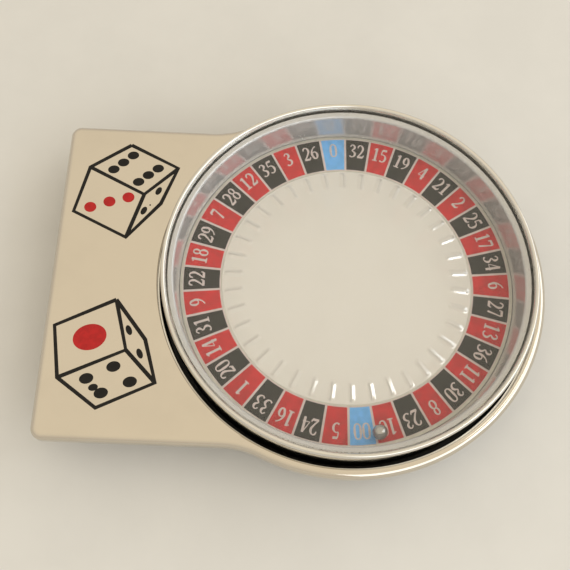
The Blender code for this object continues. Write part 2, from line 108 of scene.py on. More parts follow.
# %% [markdown]
# ## The camera
# The buckle was seen from above and a little in front, through a lens slightly
# longer than normal, with the camera rolled by five degrees. Three angles give the
# camera's own axes, and its place is a point in millimetres. Euler angles typed by
# hand would do too, but then each of the three could not be read by itself.

# %% Place the camera
CAMERA_ELEVATION = math.radians(69.17)
CAMERA_AZIMUTH = math.radians(-2.90)
CAMERA_ROLL = math.radians(5.21)
CAMERA_PLACE = Vector((-4.87, -49.97, 136.96)) * MM
LENS = 52.94
SENSOR = 36.0

back = Matrix.Rotation(CAMERA_AZIMUTH, 3, "Z") @ Vector(
    (0, -math.cos(CAMERA_ELEVATION), math.sin(CAMERA_ELEVATION))
)
right = Matrix.Rotation(CAMERA_AZIMUTH, 3, "Z") @ Vector((1, 0, 0))
level_axes = Matrix((right, back.cross(right), back)).transposed()
camera_data = bpy.data.cameras.new("camera")
camera_data.lens = LENS
camera_data.sensor_width = SENSOR
camera_data.clip_start = MM
camera = bpy.data.objects.new("camera", camera_data)
bpy.context.collection.objects.link(camera)
camera.matrix_world = Matrix.Translation(CAMERA_PLACE) @ (
    level_axes @ Matrix.Rotation(CAMERA_ROLL, 3, "Z")
).to_4x4()
bpy.context.scene.camera = camera
bpy.context.scene.view_settings.view_transform = "Standard"
print("camera", [round(value / MM) for value in camera.location], "mm")

# %% [markdown]
# ## Shader maths as Python
# A node tree is easier to read as a formula. This small class wraps one socket, so
# that `1 - mask * 0.5` adds its own Math nodes. Anything that isn't plain maths
# comes from one method, `node`, which takes the node's type, its settings and the
# values of its sockets.

# %% Wrap sockets in a class
class Tree:
    """The node tree of a material or of the world."""

    def __init__(self, owner):
        owner.use_nodes = True
        self.nodes = owner.node_tree.nodes
        self.links = owner.node_tree.links
        self.shader = self.nodes.get("Principled BSDF") or self.nodes["Background"]

    def node(self, kind, settings=None, output=0, **values):
        """Add a node. A value's key is a socket's name with _ for spaces, or i and its number."""
        made = self.nodes.new(kind)
        for key, value in (settings or {}).items():
            setattr(made, key, value)
        for key, value in values.items():
            which = int(key[1:]) if key[1:].isdigit() else key.replace("_", " ")
            self.feed(made.inputs[which], value)
        return Wire(self, made.outputs[output])

    def feed(self, socket, value):
        """Link a wire to a socket, or set the socket to a plain value."""
        if isinstance(value, (Wire, bpy.types.NodeSocket)):
            self.links.new(getattr(value, "socket", value), socket)
        else:
            socket.default_value = value

    def set(self, **values):
        """Set or link the shader's own sockets."""
        for key, value in values.items():
            self.feed(self.shader.inputs[key.replace("_", " ")], value)

    def mix(self, factor, first, second):
        """Blend two colours."""
        return self.node(
            "ShaderNodeMix", {"data_type": "RGBA"}, output=2, i0=factor, i6=first, i7=second
        )

    def place(self):
        """The point on the surface, in metres, in the buckle's own frame."""
        return self.node("ShaderNodeTexCoord", output=3)

    def from_axis(self):
        """A point's x and y from the drum's axis, its height and its reach from the axis, in mm."""
        parts = self.node("ShaderNodeSeparateXYZ", Vector=self.place())
        x = parts / MM - AXIS.x
        y = parts.out("Y") / MM
        return x, y, parts.out("Z") / MM, (x * x + y * y).math("SQRT")

    def noise(self, scale, detail=3.0, rough=0.5, vector=None):
        """A noise over the surface, with its scale in waves per metre."""
        return self.node(
            "ShaderNodeTexNoise", Scale=scale, Detail=detail, Roughness=rough,
            Vector=vector or self.place(),
        )


class Wire:
    """A socket that takes part in arithmetic."""

    def __init__(self, tree, socket):
        self.tree = tree
        self.socket = socket

    def math(self, operation, *others):
        """One Math node, with this wire as its first value."""
        values = {f"i{number}": value for number, value in enumerate((self, *others))}
        return self.tree.node("ShaderNodeMath", {"operation": operation}, **values)

    def out(self, name):
        """Another output of the same node."""
        return Wire(self.tree, self.socket.node.outputs[name])

    def __add__(self, other):
        return self.math("ADD", other)

    __radd__ = __add__

    def __sub__(self, other):
        return self.math("SUBTRACT", other)

    def __rsub__(self, other):
        return self.tree.node("ShaderNodeMath", {"operation": "SUBTRACT"}, i0=other, i1=self)

    def __mul__(self, other):
        return self.math("MULTIPLY", other)

    __rmul__ = __mul__

    def __truediv__(self, other):
        return self.math("DIVIDE", other)

    def __gt__(self, other):
        return self.math("GREATER_THAN", other)

    def __lt__(self, other):
        return self.math("LESS_THAN", other)

    def between(self, start, end):
        """0 at start, 1 at end, with a smooth step in between."""
        return self.tree.node(
            "ShaderNodeMapRange", {"interpolation_type": "SMOOTHSTEP"},
            Value=self, From_Min=start, From_Max=end,
        )


looks = {}


def new_tree(name):
    """The tree of a new finish, which is kept in looks under its name."""
    looks[name] = bpy.data.materials.new(name)
    return Tree(looks[name])


print("shader helpers ready")

# %% [markdown]
# ## Plated metal
# Plating is a mirror that has been handled: mostly sharp, with a faint haze of
# wiping marks and a few smudges. A metallic shader with a low roughness gives the
# mirror. Two noises vary that roughness: a stretched one for the fine wiping
# scratches and a broad one for the smudges. A tiny bump makes the reflection swim
# a little, as it does on thin pressed sheet. The wall and the disc are only partly
# metal here, because their old polish is hazy and looks pale from every side.

# %% Make the metals
NICKEL = (0.65, 0.592, 0.508)
CHROME = (0.73, 0.71, 0.67)
STEEL = (0.52, 0.51, 0.49)
BEZEL_PLATING = (0.735, 0.71, 0.66)
WALL_PLATING = (0.585, 0.57, 0.57)
BALL_STEEL = (0.42, 0.41, 0.395)
BRASS = (0.72, 0.52, 0.22)
SPRING_STEEL = (0.16, 0.16, 0.17)
# The black that painted shade turns plating to.
SHADE_BLACK = (0.012, 0.011, 0.010)
SMUDGES = 140.0
WIPING = 900.0
WIPING_STRETCH = (1.0, 9.0, 1.0)
SMUDGE_SHARE = 0.65
SMUDGE_TINT = 0.25
SHADE_ROUGHNESS = 0.3
LATHE_WAVES = 21.0
LATHE_GRAIN = 2500.0
FINE_RELIEF = 0.02 * MM


def plated(name, colour, sharp, dull, waves, wave_size=90.0, metal=1.0, painted_shade=None):
    """Polished plating, from sharp to dull, with waves in the sheet. A painted shade mask makes it dull and
    black.
    """
    tree = new_tree(name)
    smudge = tree.noise(SMUDGES, 4.0, 0.6).between(0.42, 0.72)
    stretched = tree.node("ShaderNodeMapping", Vector=tree.place(), Scale=WIPING_STRETCH)
    wiping = tree.noise(WIPING, 2.0, 0.7, stretched).between(0.45, 0.8)
    roughness = sharp + (dull - sharp) * (smudge * SMUDGE_SHARE + wiping * (1 - SMUDGE_SHARE))
    swell = tree.noise(wave_size, 1.0, 0.4)
    bump = tree.node("ShaderNodeBump", Strength=waves, Distance=MM, Height=swell)
    tint = tree.mix(smudge * SMUDGE_TINT, (*colour, 1.0), (*[value * 0.9 for value in colour], 1.0))
    # Painted shade: where the mask is set, the colour goes black and the metal dull.
    if painted_shade:
        shade_mask = painted_shade(tree)
        tint = tree.mix(shade_mask, tint, (*SHADE_BLACK, 1.0))
        metal = metal * (1 - shade_mask)
        roughness = roughness + SHADE_ROUGHNESS * shade_mask
    tree.set(Base_Color=tint, Metallic=metal, Roughness=roughness, Normal=bump)


def turned_metal(name, colour, roughness=0.3):
    """Metal with the fine rings that a lathe leaves round the drum's axis."""
    tree = new_tree(name)
    radius = tree.from_axis()[3]
    rings = (radius * LATHE_WAVES).math("SINE")
    grain = tree.noise(LATHE_GRAIN)
    bump = tree.node("ShaderNodeBump", Strength=0.15, Distance=FINE_RELIEF, Height=rings + grain)
    tree.set(
        Base_Color=tree.mix(grain, (*colour, 1.0), (*[value * 0.8 for value in colour], 1.0)),
        Metallic=1.0, Roughness=roughness + 0.12 * grain, Normal=bump,
    )


plated("plated_front", NICKEL, sharp=0.09, dull=0.2, waves=0.03)
plated("plated_bezel", BEZEL_PLATING, sharp=0.08, dull=0.16, waves=0.01)
plated("polished_wall", WALL_PLATING, sharp=0.2, dull=0.3, waves=0.01, metal=0.55)
plated("plated_wire", CHROME, sharp=0.1, dull=0.22, waves=0.02)
plated("plated_stud", CHROME, sharp=0.1, dull=0.22, waves=0.02)
plated("lug_steel", STEEL, sharp=0.2, dull=0.36, waves=0.02)
plated("ball_steel", BALL_STEEL, sharp=0.04, dull=0.08, waves=0.0)
turned_metal("turned_pivot", STEEL)
turned_metal("plated_washer", STEEL, roughness=0.26)
plated("stud_washer", STEEL, sharp=0.2, dull=0.32, waves=0.02)
turned_metal("spun_bowl", STEEL, roughness=0.22)
turned_metal("brass_bush", BRASS, roughness=0.24)
turned_metal("spring_steel", SPRING_STEEL, roughness=0.34)
print(len(looks), "metals")

# %% [markdown]
# ## The printed ring
# The ring of numbers is a print on foil: 38 pockets with thin pale lines between
# them and along both edges. An image would do, but a formula stays sharp at any
# distance. The angle round the axis gives a pocket's number, and the remainder of
# that number after a division gives its colour. A fine grain and a slight mottle keep
# the print from looking like one flat colour.

# %% Colour the pockets by their angle
POCKETS = 38
ZERO_ANGLE = 95.9
PRINT_BORE = 20.88
PRINT_EDGE = 27.0
LINE = 0.37
INNER_LINE = 0.1
OUTER_LINE = 0.12
RED = (0.58, 0.013, 0.018)
BLACK = (0.012, 0.011, 0.009)
BLUE = (0.155, 0.45, 0.86)
PALE = (0.63, 0.52, 0.49)
FOIL = (0.57, 0.54, 0.48)
NUMBER_INK = (0.62, 0.52, 0.49)
BLACK_INK = (0.006, 0.005, 0.004)
RED_INK = (0.42, 0.014, 0.014)


def mottled(tree, colour, amount=0.18, scale=1100.0):
    """A colour that varies a little, as ink does."""
    grain = tree.noise(scale, 4.0, 0.6)
    dark = tuple(value * (1 - amount) for value in colour)
    light = tuple(min(1.0, value * (1 + amount)) for value in colour)
    return tree.mix(grain.between(0.3, 0.7), (*dark, 1.0), (*light, 1.0))


def printed_ring():
    """The print on the foil, with a bare margin outside and inside it."""
    tree = new_tree("printed_ring")
    x, y, _, radius = tree.from_axis()
    turn = math.radians(ZERO_ANGLE) - y.math("ARCTAN2", x)
    share = (turn * (POCKETS / math.tau) + 0.5).math("FLOORED_MODULO", POCKETS)
    pocket = share.math("FLOOR")
    within = share - pocket
    odd = pocket.math("MODULO", 2.0) > 0.5
    zero = pocket.math("MODULO", POCKETS / 2) < 0.5
    colour = tree.mix(odd, mottled(tree, RED), mottled(tree, BLACK, amount=0.35))
    colour = tree.mix(zero, colour, mottled(tree, BLUE, amount=0.1))
    to_line = (0.5 - (within - 0.5).math("ABSOLUTE")) * (math.tau / POCKETS) * radius
    edge = (radius < PRINT_BORE + INNER_LINE).math("MAXIMUM", radius > PRINT_EDGE - OUTER_LINE)
    line = (to_line < LINE / 2).math("MAXIMUM", edge)
    colour = tree.mix(line, colour, mottled(tree, PALE, amount=0.06))
    bare = (radius > PRINT_EDGE).math("MAXIMUM", radius < PRINT_BORE - INNER_LINE)
    colour = tree.mix(bare, colour, mottled(tree, FOIL, amount=0.06))
    grain = tree.noise(3000.0)
    tree.set(
        Base_Color=colour, Metallic=bare * 0.7, Roughness=0.3 + 0.14 * grain, Specular_IOR_Level=0.15,
        Normal=tree.node("ShaderNodeBump", Strength=0.05, Distance=FINE_RELIEF, Height=grain),
    )


def ink(name, colour, amount):
    """Thick printing ink: a little uneven, with a low gloss."""
    tree = new_tree(name)
    grain = tree.noise(1600.0, 3.0, 0.6)
    tree.set(
        Base_Color=mottled(tree, colour, amount), Roughness=0.35 + 0.2 * grain,
        Specular_IOR_Level=0.25,
        Normal=tree.node("ShaderNodeBump", Strength=0.1, Distance=FINE_RELIEF, Height=grain),
    )


printed_ring()
ink("number_ink", NUMBER_INK, amount=0.06)
ink("black_ink", BLACK_INK, amount=0.4)
ink("red_ink", RED_INK, amount=0.12)
print("inks and the ring's print")

# %% [markdown]
# ## Clear plastic and nylon
# The cover is clear plastic that bends and mirrors light, but a shadow ray that meets
# such a shader counts as blocked, and the wheel below would go dark. A Light Path node
# lets shadow rays pass through a tinted transparent shader instead. The washer under
# the drum is milky nylon, which glows a little from inside.

# %% Make the plastics
CLEAR = (0.98, 0.985, 0.98, 1.0)
SHADOW_TINT = (0.94, 0.95, 0.94, 1.0)
ACRYLIC_IOR = 1.49
NYLON = (0.74, 0.71, 0.62)


def clear_plastic():
    """Clear acrylic with a few wiping marks."""
    tree = new_tree("clear_plastic")
    wiping = tree.noise(700.0, 3.0, 0.6).between(0.55, 0.8)
    tree.set(
        Base_Color=CLEAR, Roughness=0.012 + 0.03 * wiping, IOR=ACRYLIC_IOR, Transmission_Weight=1.0,
    )
    passing = tree.node("ShaderNodeLightPath").out("Is Shadow Ray")
    open_way = tree.node("ShaderNodeBsdfTransparent", Color=SHADOW_TINT)
    pane = tree.node("ShaderNodeMixShader", Fac=passing, i1=tree.shader.outputs[0], i2=open_way)
    tree.feed(tree.nodes["Material Output"].inputs["Surface"], pane)


def nylon():
    """Milky nylon with a fine grain."""
    tree = new_tree("nylon")
    grain = tree.noise(900.0, 4.0, 0.6)
    tree.set(
        Base_Color=mottled(tree, NYLON, amount=0.06), Roughness=0.42 + 0.14 * grain,
        Subsurface_Weight=0.2, Subsurface_Radius=(0.6 * MM, 0.5 * MM, 0.4 * MM), Subsurface_Scale=1.0,
        Normal=tree.node("ShaderNodeBump", Strength=0.1, Distance=FINE_RELIEF, Height=grain),
    )


clear_plastic()
nylon()
print("plastics ready")

# %% [markdown]
# ## The tools of this workshop
# Most pieces here are round, so the main tool spins an outline about an upright
# axis. Corners are rounded afterwards with a bevel on just the rings that need it,
# because a polished edge is seen by the light that it catches. The work is done in
# millimetres, and the last helper scales a finished mesh to metres, where it rides
# on a body of the frame.

# %% Spin, round and finish
UP = (0, 0, 1)
NEAR = 0.002
SHARP = math.radians(35.0)
SMALL_STEPS = 96


def turned(profile, centre=AXIS, steps=256):
    """Spin an outline of (radius, height) points about an upright axis."""
    mesh = bmesh.new()
    verts = [mesh.verts.new((centre.x + radius, centre.y, height)) for radius, height in profile]
    edges = [mesh.edges.new(pair) for pair in zip(verts, verts[1:])]
    if profile[0][0] > 0:
        edges.append(mesh.edges.new((verts[-1], verts[0])))
    bmesh.ops.spin(
        mesh, geom=verts + edges, cent=centre, axis=UP, angle=math.tau, steps=steps, use_merge=True
    )
    bmesh.ops.remove_doubles(mesh, verts=mesh.verts, dist=NEAR)
    bmesh.ops.recalc_face_normals(mesh, faces=mesh.faces)
    return mesh


def bevelled(mesh, edges, width, segments):
    """Round some edges."""
    bmesh.ops.bevel(
        mesh, geom=edges, offset=width, offset_type="OFFSET", segments=segments, profile=0.5,
        affect="EDGES", clamp_overlap=True, material=-1,
    )


def rounded(mesh, corners, centre=AXIS, segments=4):
    """Bevel turned corners, each given as (radius, height, width)."""
    for radius, height, width in corners:
        ring = [
            edge for edge in mesh.edges
            if all(
                abs(math.hypot(vert.co.x - centre.x, vert.co.y - centre.y) - radius) < NEAR
                and abs(vert.co.z - height) < NEAR
                for vert in edge.verts
            )
        ]
        bevelled(mesh, ring, width, segments)
    return mesh


def bridged(mesh, rings):
    """Join each ring of edges to the next one."""
    for first, second in zip(rings, rings[1:]):
        bmesh.ops.bridge_loops(mesh, edges=first + second)


def filled(mesh, *flats):
    """Fill each flat between its rings, and turn all faces outwards."""
    for edges in flats:
        bmesh.ops.triangle_fill(mesh, edges=edges, use_beauty=True)
    bmesh.ops.recalc_face_normals(mesh, faces=mesh.faces)


def add_piece(name, mesh, look, body, *nodes):
    """Scale a mesh from millimetres to metres, and let it ride on a body in place of some nodes."""
    data = mesh
    if isinstance(mesh, bmesh.types.BMesh):
        data = bpy.data.meshes.new(name)
        mesh.to_mesh(data)
        mesh.free()
    data.transform(Matrix.Scale(MM, 4))
    data.shade_smooth()
    data.set_sharp_from_angle(angle=SHARP)
    data.materials.clear()
    data.materials.append(looks[look])
    made = bpy.data.objects.new(name, data)
    bpy.context.collection.objects.link(made)
    made.modifiers.new("flat_faces", "WEIGHTED_NORMAL").keep_sharp = True
    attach(made, body)
    if nodes:
        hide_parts(*nodes)
    print(name, len(data.polygons), "faces")


print("workshop ready, with turned corners found within", NEAR, "mm")

# %% [markdown]
# ## The pressed plate
# The plate is one sheet, pressed so that its rim turns down. Its outline is a round
# end, two hollow curves and a square end. A subdivision surface would blur those
# exact curves, so the outline is drawn with arcs, at any inset from its edge.

# %% Draw the plate's outline at any inset
PLATE_LOW, PLATE_HIGH = box_corners("front_plate")
UPPER_STEP = 6.5
LOWER_STEP = 4.1
PLATE_UPPER = PLATE_HIGH.y - UPPER_STEP
PLATE_LOWER = LOWER_STEP - PLATE_HIGH.y
PLATE_CORNER = 1.8
PLATE_FILLET = 15.0
ARC_STEP = 2.0
LEAST_STEPS = 6


def sweep(mesh, vert, centre, degrees):
    """Draw an arc from a vertex round a centre, and return the arc's last vertex."""
    swept = bmesh.ops.spin(
        mesh, geom=[vert], cent=centre, axis=UP, angle=math.radians(degrees),
        steps=max(LEAST_STEPS, round(abs(degrees) / ARC_STEP)),
    )
    return next(part for part in swept["geom_last"] if isinstance(part, bmesh.types.BMVert))


def straight(mesh, vert, place):
    """Draw a straight edge from a vertex to a place, and return its end."""
    end = bmesh.ops.extrude_vert_indiv(mesh, verts=[vert])["verts"][0]
    end.co = place
    return end


def plate_ring(mesh, inset, height):
    """Draw one ring of the plate's sheet, and return its edges."""
    before = set(mesh.edges)
    end = PLATE_HIGH.y - inset
    corner = PLATE_CORNER - inset
    fillet = PLATE_FILLET + inset
    middle = Vector((AXIS.x, 0, height))

    def fillet_centre(edge):
        """The middle of the hollow curve into an edge, and how far round the end it starts."""
        rise = abs(edge) + fillet
        run = math.sqrt((end + fillet) ** 2 - rise**2)
        return middle + Vector((-run, math.copysign(rise, edge), 0)), math.degrees(math.atan2(rise, run))

    upper = PLATE_UPPER - inset
    lower = PLATE_LOWER + inset
    left = PLATE_LOW.x + inset
    high, high_angle = fillet_centre(upper)
    low, low_angle = fillet_centre(lower)
    start = mesh.verts.new(middle + (low - middle).normalized() * end)
    last = sweep(mesh, start, middle, 360 - low_angle - high_angle)
    last = sweep(mesh, last, high, high_angle - 90)
    last = straight(mesh, last, (left + corner, upper, height))
    last = sweep(mesh, last, (left + corner, upper - corner, height), 90)
    last = straight(mesh, last, (left, lower + corner, height))
    last = sweep(mesh, last, (left + corner, lower + corner, height), 90)
    last = straight(mesh, last, (low.x, lower, height))
    last = sweep(mesh, last, low, low_angle - 90)
    bmesh.ops.remove_doubles(mesh, verts=[start, last], dist=NEAR)
    return [edge for edge in mesh.edges if edge not in before]


def circle_ring(mesh, radius, height, centre=AXIS, segments=256):
    """Draw a circle, and return its edges."""
    place = Matrix.Translation((centre.x, centre.y, height))
    ring = bmesh.ops.create_circle(mesh, segments=segments, radius=radius, matrix=place)
    return list({edge for vert in ring["verts"] for edge in vert.link_edges})


def arc(centre, radius, start, end, steps=8, tall=1.0):
    """Points along an arc of a section, with the angles in degrees. Tall stretches its height."""
    angles = [math.radians(start + (end - start) * step / steps) for step in range(steps + 1)]
    return [
        (centre[0] + radius * math.cos(angle), centre[1] + radius * tall * math.sin(angle))
        for angle in angles
    ]


print("plate from", tuple(PLATE_LOW), "to", tuple(PLATE_HIGH))

# %% [markdown]
# ## The plate's section
# The sheet's section runs from the flat face over a wide round to the rim's foot, and
# up again inside. Each point of the section is one ring of the outline, with its own
# inset and height. Neighbouring rings are bridged, and the flats are filled up to the
# hole for the drum. A solidified surface would be quicker, but its rim would be square.

# %% Bridge the rings and fill the flats
PLATE_SHEET = 0.8
PLATE_ROUND = 1.1
PLATE_BORE = 30.9
SHEET_EDGE = 0.2
HOLE_EDGE = 0.15
PLATE_TOP = PLATE_HIGH.z
PLATE_BACK = PLATE_TOP - PLATE_SHEET
PLATE_FOOT = PLATE_LOW.z

section = arc((PLATE_ROUND, PLATE_TOP - PLATE_ROUND), PLATE_ROUND, 90, 180, steps=12)
section += arc((SHEET_EDGE, PLATE_FOOT + SHEET_EDGE), SHEET_EDGE, 180, 270, steps=4)
section += arc((PLATE_SHEET - SHEET_EDGE, PLATE_FOOT + SHEET_EDGE), SHEET_EDGE, 270, 360, steps=4)
inner_round = PLATE_ROUND - PLATE_SHEET
section += arc((PLATE_ROUND, PLATE_TOP - PLATE_ROUND), inner_round, 180, 90, steps=4)
plate = bmesh.new()
rings = [plate_ring(plate, inset, height) for inset, height in section]
bridged(plate, rings)
hole_round = arc((PLATE_BORE + HOLE_EDGE, PLATE_TOP - HOLE_EDGE), HOLE_EDGE, 90, 180, steps=4)
bore = [circle_ring(plate, reach, height) for reach, height in hole_round]
bore.append(circle_ring(plate, PLATE_BORE, PLATE_BACK))
bridged(plate, bore)
filled(plate, rings[0] + bore[0], rings[-1] + bore[-1])
add_piece("pressed_plate", plate, "plated_front", "case", "front_plate")

# %% [markdown]
# ## The cup behind the plate
# The cup is drawn from sheet, and it closes the back. Its inside is painted dull and
# black, as painted shade, so the gap round the drum is dark. Two materials on one piece
# would do, but one finish with a mask needs no choice of faces: a point is inside where
# it is above the floor and nearer to the axis than the wall.

# %% Finish the cup bright outside and dull inside
CUP_BACK, CUP_TOP = (corner.z for corner in box_corners("rear_cup"))
CUP_SHEET = 0.55
CUP_FLOOR = CUP_BACK + CUP_SHEET
CUP_OUTSIDE = radius_of("rear_cup")


def painted_cup_shade(tree):
    """1 inside the cup, where its shade is painted black."""
    _, _, height, radius = tree.from_axis()
    return (radius < CUP_OUTSIDE - CUP_SHEET + NEAR) * (height > CUP_FLOOR - NEAR)


# The cup's inside gets painted shade: black and dull.
plated("plated_cup", CHROME, sharp=0.14, dull=0.3, waves=0.03, painted_shade=painted_cup_shade)
print("cup outside", round(CUP_OUTSIDE, 2), "floor at", round(CUP_FLOOR, 2))

# %% [markdown]
# ## The cup's section
# The section runs from the floor's underside round the corner, over the lip and down
# inside, as bridged circles. The floor has a hole for the pivot and one for the stud's
# neck. Both are rings in the flat floor, which the fill leaves open. A spin can't make
# a hole off its own axis, and a boolean cut would leave a ragged mesh round it.

# %% Draw the cup
CUP_CORNER = 0.9
CUP_LIP = 0.1
PIVOT_HOLE = 2.1
STUD_HOLE = 1.5
STUD_HOLE_STEPS = 64
stud_low, stud_high = box_corners("belt_stud")
STUD_AXIS = Vector(((stud_low.x + stud_high.x) / 2, (stud_low.y + stud_high.y) / 2, 0))

corner_middle = (CUP_OUTSIDE - CUP_CORNER, CUP_BACK + CUP_CORNER)
cup_section = arc(corner_middle, CUP_CORNER, -90, 0)
cup_section += arc((CUP_OUTSIDE - CUP_LIP, CUP_TOP - CUP_LIP), CUP_LIP, 0, 90, steps=3)
cup_section += arc((CUP_OUTSIDE - CUP_SHEET + CUP_LIP, CUP_TOP - CUP_LIP), CUP_LIP, 90, 180, steps=3)
cup_section += arc(corner_middle, CUP_CORNER - CUP_SHEET, 0, -90)
cup = bmesh.new()
walls = [circle_ring(cup, reach, height) for reach, height in cup_section]
bridged(cup, walls)
underside, inside_floor = walls[0], walls[-1]
for hole, centre, count in ((PIVOT_HOLE, AXIS, SMALL_STEPS), (STUD_HOLE, STUD_AXIS, STUD_HOLE_STEPS)):
    lower = circle_ring(cup, hole, CUP_BACK, centre, count)
    upper = circle_ring(cup, hole, CUP_FLOOR, centre, count)
    bridged(cup, [lower, upper])
    underside = underside + lower
    inside_floor = inside_floor + upper
filled(cup, underside, inside_floor)
add_piece("drawn_cup", cup, "plated_cup", "case", "rear_cup")

# %% [markdown]
# ## The bezel
# The bezel is the bright ring round the cover. Its lip is a round bead that holds
# the cover down, its side is straight, and its foot curls in under the bowl. The
# bead is half an ellipse, so its brightness changes softly across it, as on rolled
# metal. A bevelled corner would show a hard line of light there.

# %% Spin the bezel
BEZEL_OUTSIDE = radius_of("bezel_ring")
BEZEL_BORE = BEZEL_OUTSIDE - 0.7
LIP_BORE = BEZEL_BORE - 0.13
LIP_BASE = COVER_TOP + 0.02
CURL_BORE = BEZEL_BORE - 1.1
CURL = 0.4
CROWN = BEZEL_OUTSIDE - 0.4
BEAD_RISE = 0.6
FOOT_ROUND = 0.3
CURL_ROUND = 0.1
outer_width = BEZEL_OUTSIDE - CROWN
inner_width = CROWN - LIP_BORE
bead = arc((CROWN, BEZEL_TOP - BEAD_RISE), outer_width, 0, 90, 10, tall=BEAD_RISE / outer_width)
bead += arc((CROWN, BEZEL_TOP - BEAD_RISE), inner_width, 90, 180, 10, tall=BEAD_RISE / inner_width)[1:]
bezel_section = [(CURL_BORE, BEZEL_BASE), (BEZEL_OUTSIDE, BEZEL_BASE)] + bead + [
    (LIP_BORE, LIP_BASE), (BEZEL_BORE, LIP_BASE),
    (BEZEL_BORE, BEZEL_BASE + CURL), (CURL_BORE, BEZEL_BASE + CURL),
]
bezel = rounded(
    turned(bezel_section),
    [(BEZEL_OUTSIDE, BEZEL_BASE, FOOT_ROUND), (CURL_BORE, BEZEL_BASE, CURL_ROUND)],
)
add_piece("rolled_bezel", bezel, "plated_bezel", "drum", "bezel_ring")

# %% [markdown]
# ## The inner wall and its flange
# The wall between the numbers and the cover is a polished band that shows the numbers
# again, as a hazy mirror does. Its upper edge is turned out into a narrow flange under
# the cover, which stops short of the bezel and leaves the thin dark line inside it.
# Wall, bend and flange are one outline, so that the reflection runs smoothly over the
# bend.

# %% Spin the wall
WALL_BASE = levels("wall_ring")[0]
WALL_OUTSIDE = radius_of("wall_ring")
WALL_FOOT = WALL_OUTSIDE - 0.7
WALL_MOUTH = WALL_OUTSIDE - 0.2
WALL_FLARE = 5
BEND = 0.5
FLANGE_TILT = 8
FLANGE_EDGE = radius_of("drum_bowl") - 0.1
FLANGE_SHEET = 0.08
FLANGE_CLEAR = 0.01
BOWL_TOP = levels("drum_bowl")[1]
BEND_DROP = 0.44
OUTSIDE_DROP = 0.4
bend_middle = (WALL_MOUTH + BEND, BOWL_TOP - BEND_DROP)
inner_face = [(WALL_FOOT, WALL_BASE)] + arc(bend_middle, BEND, 180 - WALL_FLARE, 90 + FLANGE_TILT, 10)
bend_end = inner_face[-1]
edge_rise = (FLANGE_EDGE - bend_end[0]) * math.tan(math.radians(FLANGE_TILT))
wall = turned(inner_face + [
    (FLANGE_EDGE, bend_end[1] + edge_rise), (FLANGE_EDGE, bend_end[1] + edge_rise - FLANGE_SHEET),
    (bend_end[0], BOWL_TOP + FLANGE_CLEAR), (WALL_OUTSIDE, BOWL_TOP - OUTSIDE_DROP),
    (WALL_OUTSIDE, WALL_BASE),
])
add_piece("mirror_wall", wall, "polished_wall", "drum", "wall_ring")

# %% [markdown]
# ## The cover and the printed foil
# The cover is a flat clear disc with a softened edge that reaches under the bead. The
# numbers are printed on a thin ring of foil, with a bare margin that ends in a fine
# seam at the wall. Both are plain outlines, and the foil's colours come from its finish.

# %% Spin the cover and the foil
COVER_RADIUS = BEZEL_BORE - 0.1
COVER_ROUND = 0.08
pane = turned([(0, COVER_BASE), (COVER_RADIUS, COVER_BASE), (COVER_RADIUS, COVER_TOP), (0, COVER_TOP)])
pane = rounded(pane, [(COVER_RADIUS, height, COVER_ROUND) for height in (COVER_BASE, COVER_TOP)])
add_piece("cover_disc", pane, "clear_plastic", "drum", "clear_cover")

PRINT_BASE = levels("number_ring")[0]
DISC_STEP = 20.58
FOIL_BORE = DISC_STEP + 0.02
FOIL_EDGE = WALL_FOOT - 0.05
FOIL_ROUND = 0.03
foil = turned([
    (FOIL_BORE, PRINT_BASE), (FOIL_EDGE, PRINT_BASE), (FOIL_EDGE, PRINT_TOP), (FOIL_BORE, PRINT_TOP),
])
foil = rounded(foil, [(FOIL_EDGE, PRINT_TOP, FOIL_ROUND)], segments=2)
add_piece("printed_foil", foil, "printed_ring", "drum", "number_ring")

# %% [markdown]
# ## The disc with its frets
# The middle of the wheel is a shallow dome with a short pressed ridge near each edge
# of a pocket. Thirty-eight separate ridges could be laid on it, but they are pressed
# from the same sheet, so the disc is spun with many steps and its vertices are
# lifted where a ridge runs. Each ridge has two straight flanks, so that a whole flank
# lights up at once, and fades out at both ends.

# %% Spin the dome and press the frets
SECTOR = 360 / POCKETS
FRET_SHIFT = 1.5
DISC_RISE = 1.25
DISC_SHEET = 0.4
FRET_START = 16.88
FRET_END = 20.38
FRET_WIDTH = 1.3
FRET_HEIGHT = 0.15
FRET_FADE = 0.7
FRET_STEPS = 24
FRET_RINGS = 20
DOME_REACHES = [0, 3, 6, 9, 12, 15]
UNDER_REACHES = (15, 10, 5, 0)
# The painted shade along one flank of each fret: its offset, width, fades and depth.
FRET_SHADE_OFFSET = 0.15
FRET_SHADE_HALF = (0.02, 0.16)
FRET_SHADE_FADE_IN = 0.8
FRET_SHADE_FADE_OUT = 0.4
FRET_SHADE_DEPTH = 0.3
DISC_PLATING = (0.71, 0.684, 0.66)
DISC_BASE = levels("fret_disc")[0]
DISC_RADIUS = radius_of("fret_disc")
DISC_RIM = DISC_BASE + DISC_SHEET


def dome(reach):
    """The height of the dome at a reach from the axis."""
    return PRINT_TOP + DISC_RISE * (1 - (reach / DISC_STEP) ** 2)


def ease(share):
    """A smooth step from 0 to 1."""
    share = min(max(share, 0.0), 1.0)
    return share * share * (3 - 2 * share)


def painted_fret_shade(tree):
    """Painted shade: a thin dark line along one side of each fret, where its flank would fall in shade."""
    x, y, _, radius = tree.from_axis()
    turn = y.math("ARCTAN2", x) - math.radians(ZERO_ANGLE + FRET_SHIFT)
    share = (turn * (POCKETS / math.tau)).math("FLOORED_MODULO", 1.0) - 0.5
    across = share * (math.tau / POCKETS) * radius
    starts = radius.between(FRET_START, FRET_START + FRET_SHADE_FADE_IN)
    along = starts * (1 - radius.between(FRET_END - FRET_SHADE_FADE_OUT, FRET_END))
    return (1 - (across + FRET_SHADE_OFFSET).math("ABSOLUTE").between(*FRET_SHADE_HALF)) * along * FRET_SHADE_DEPTH


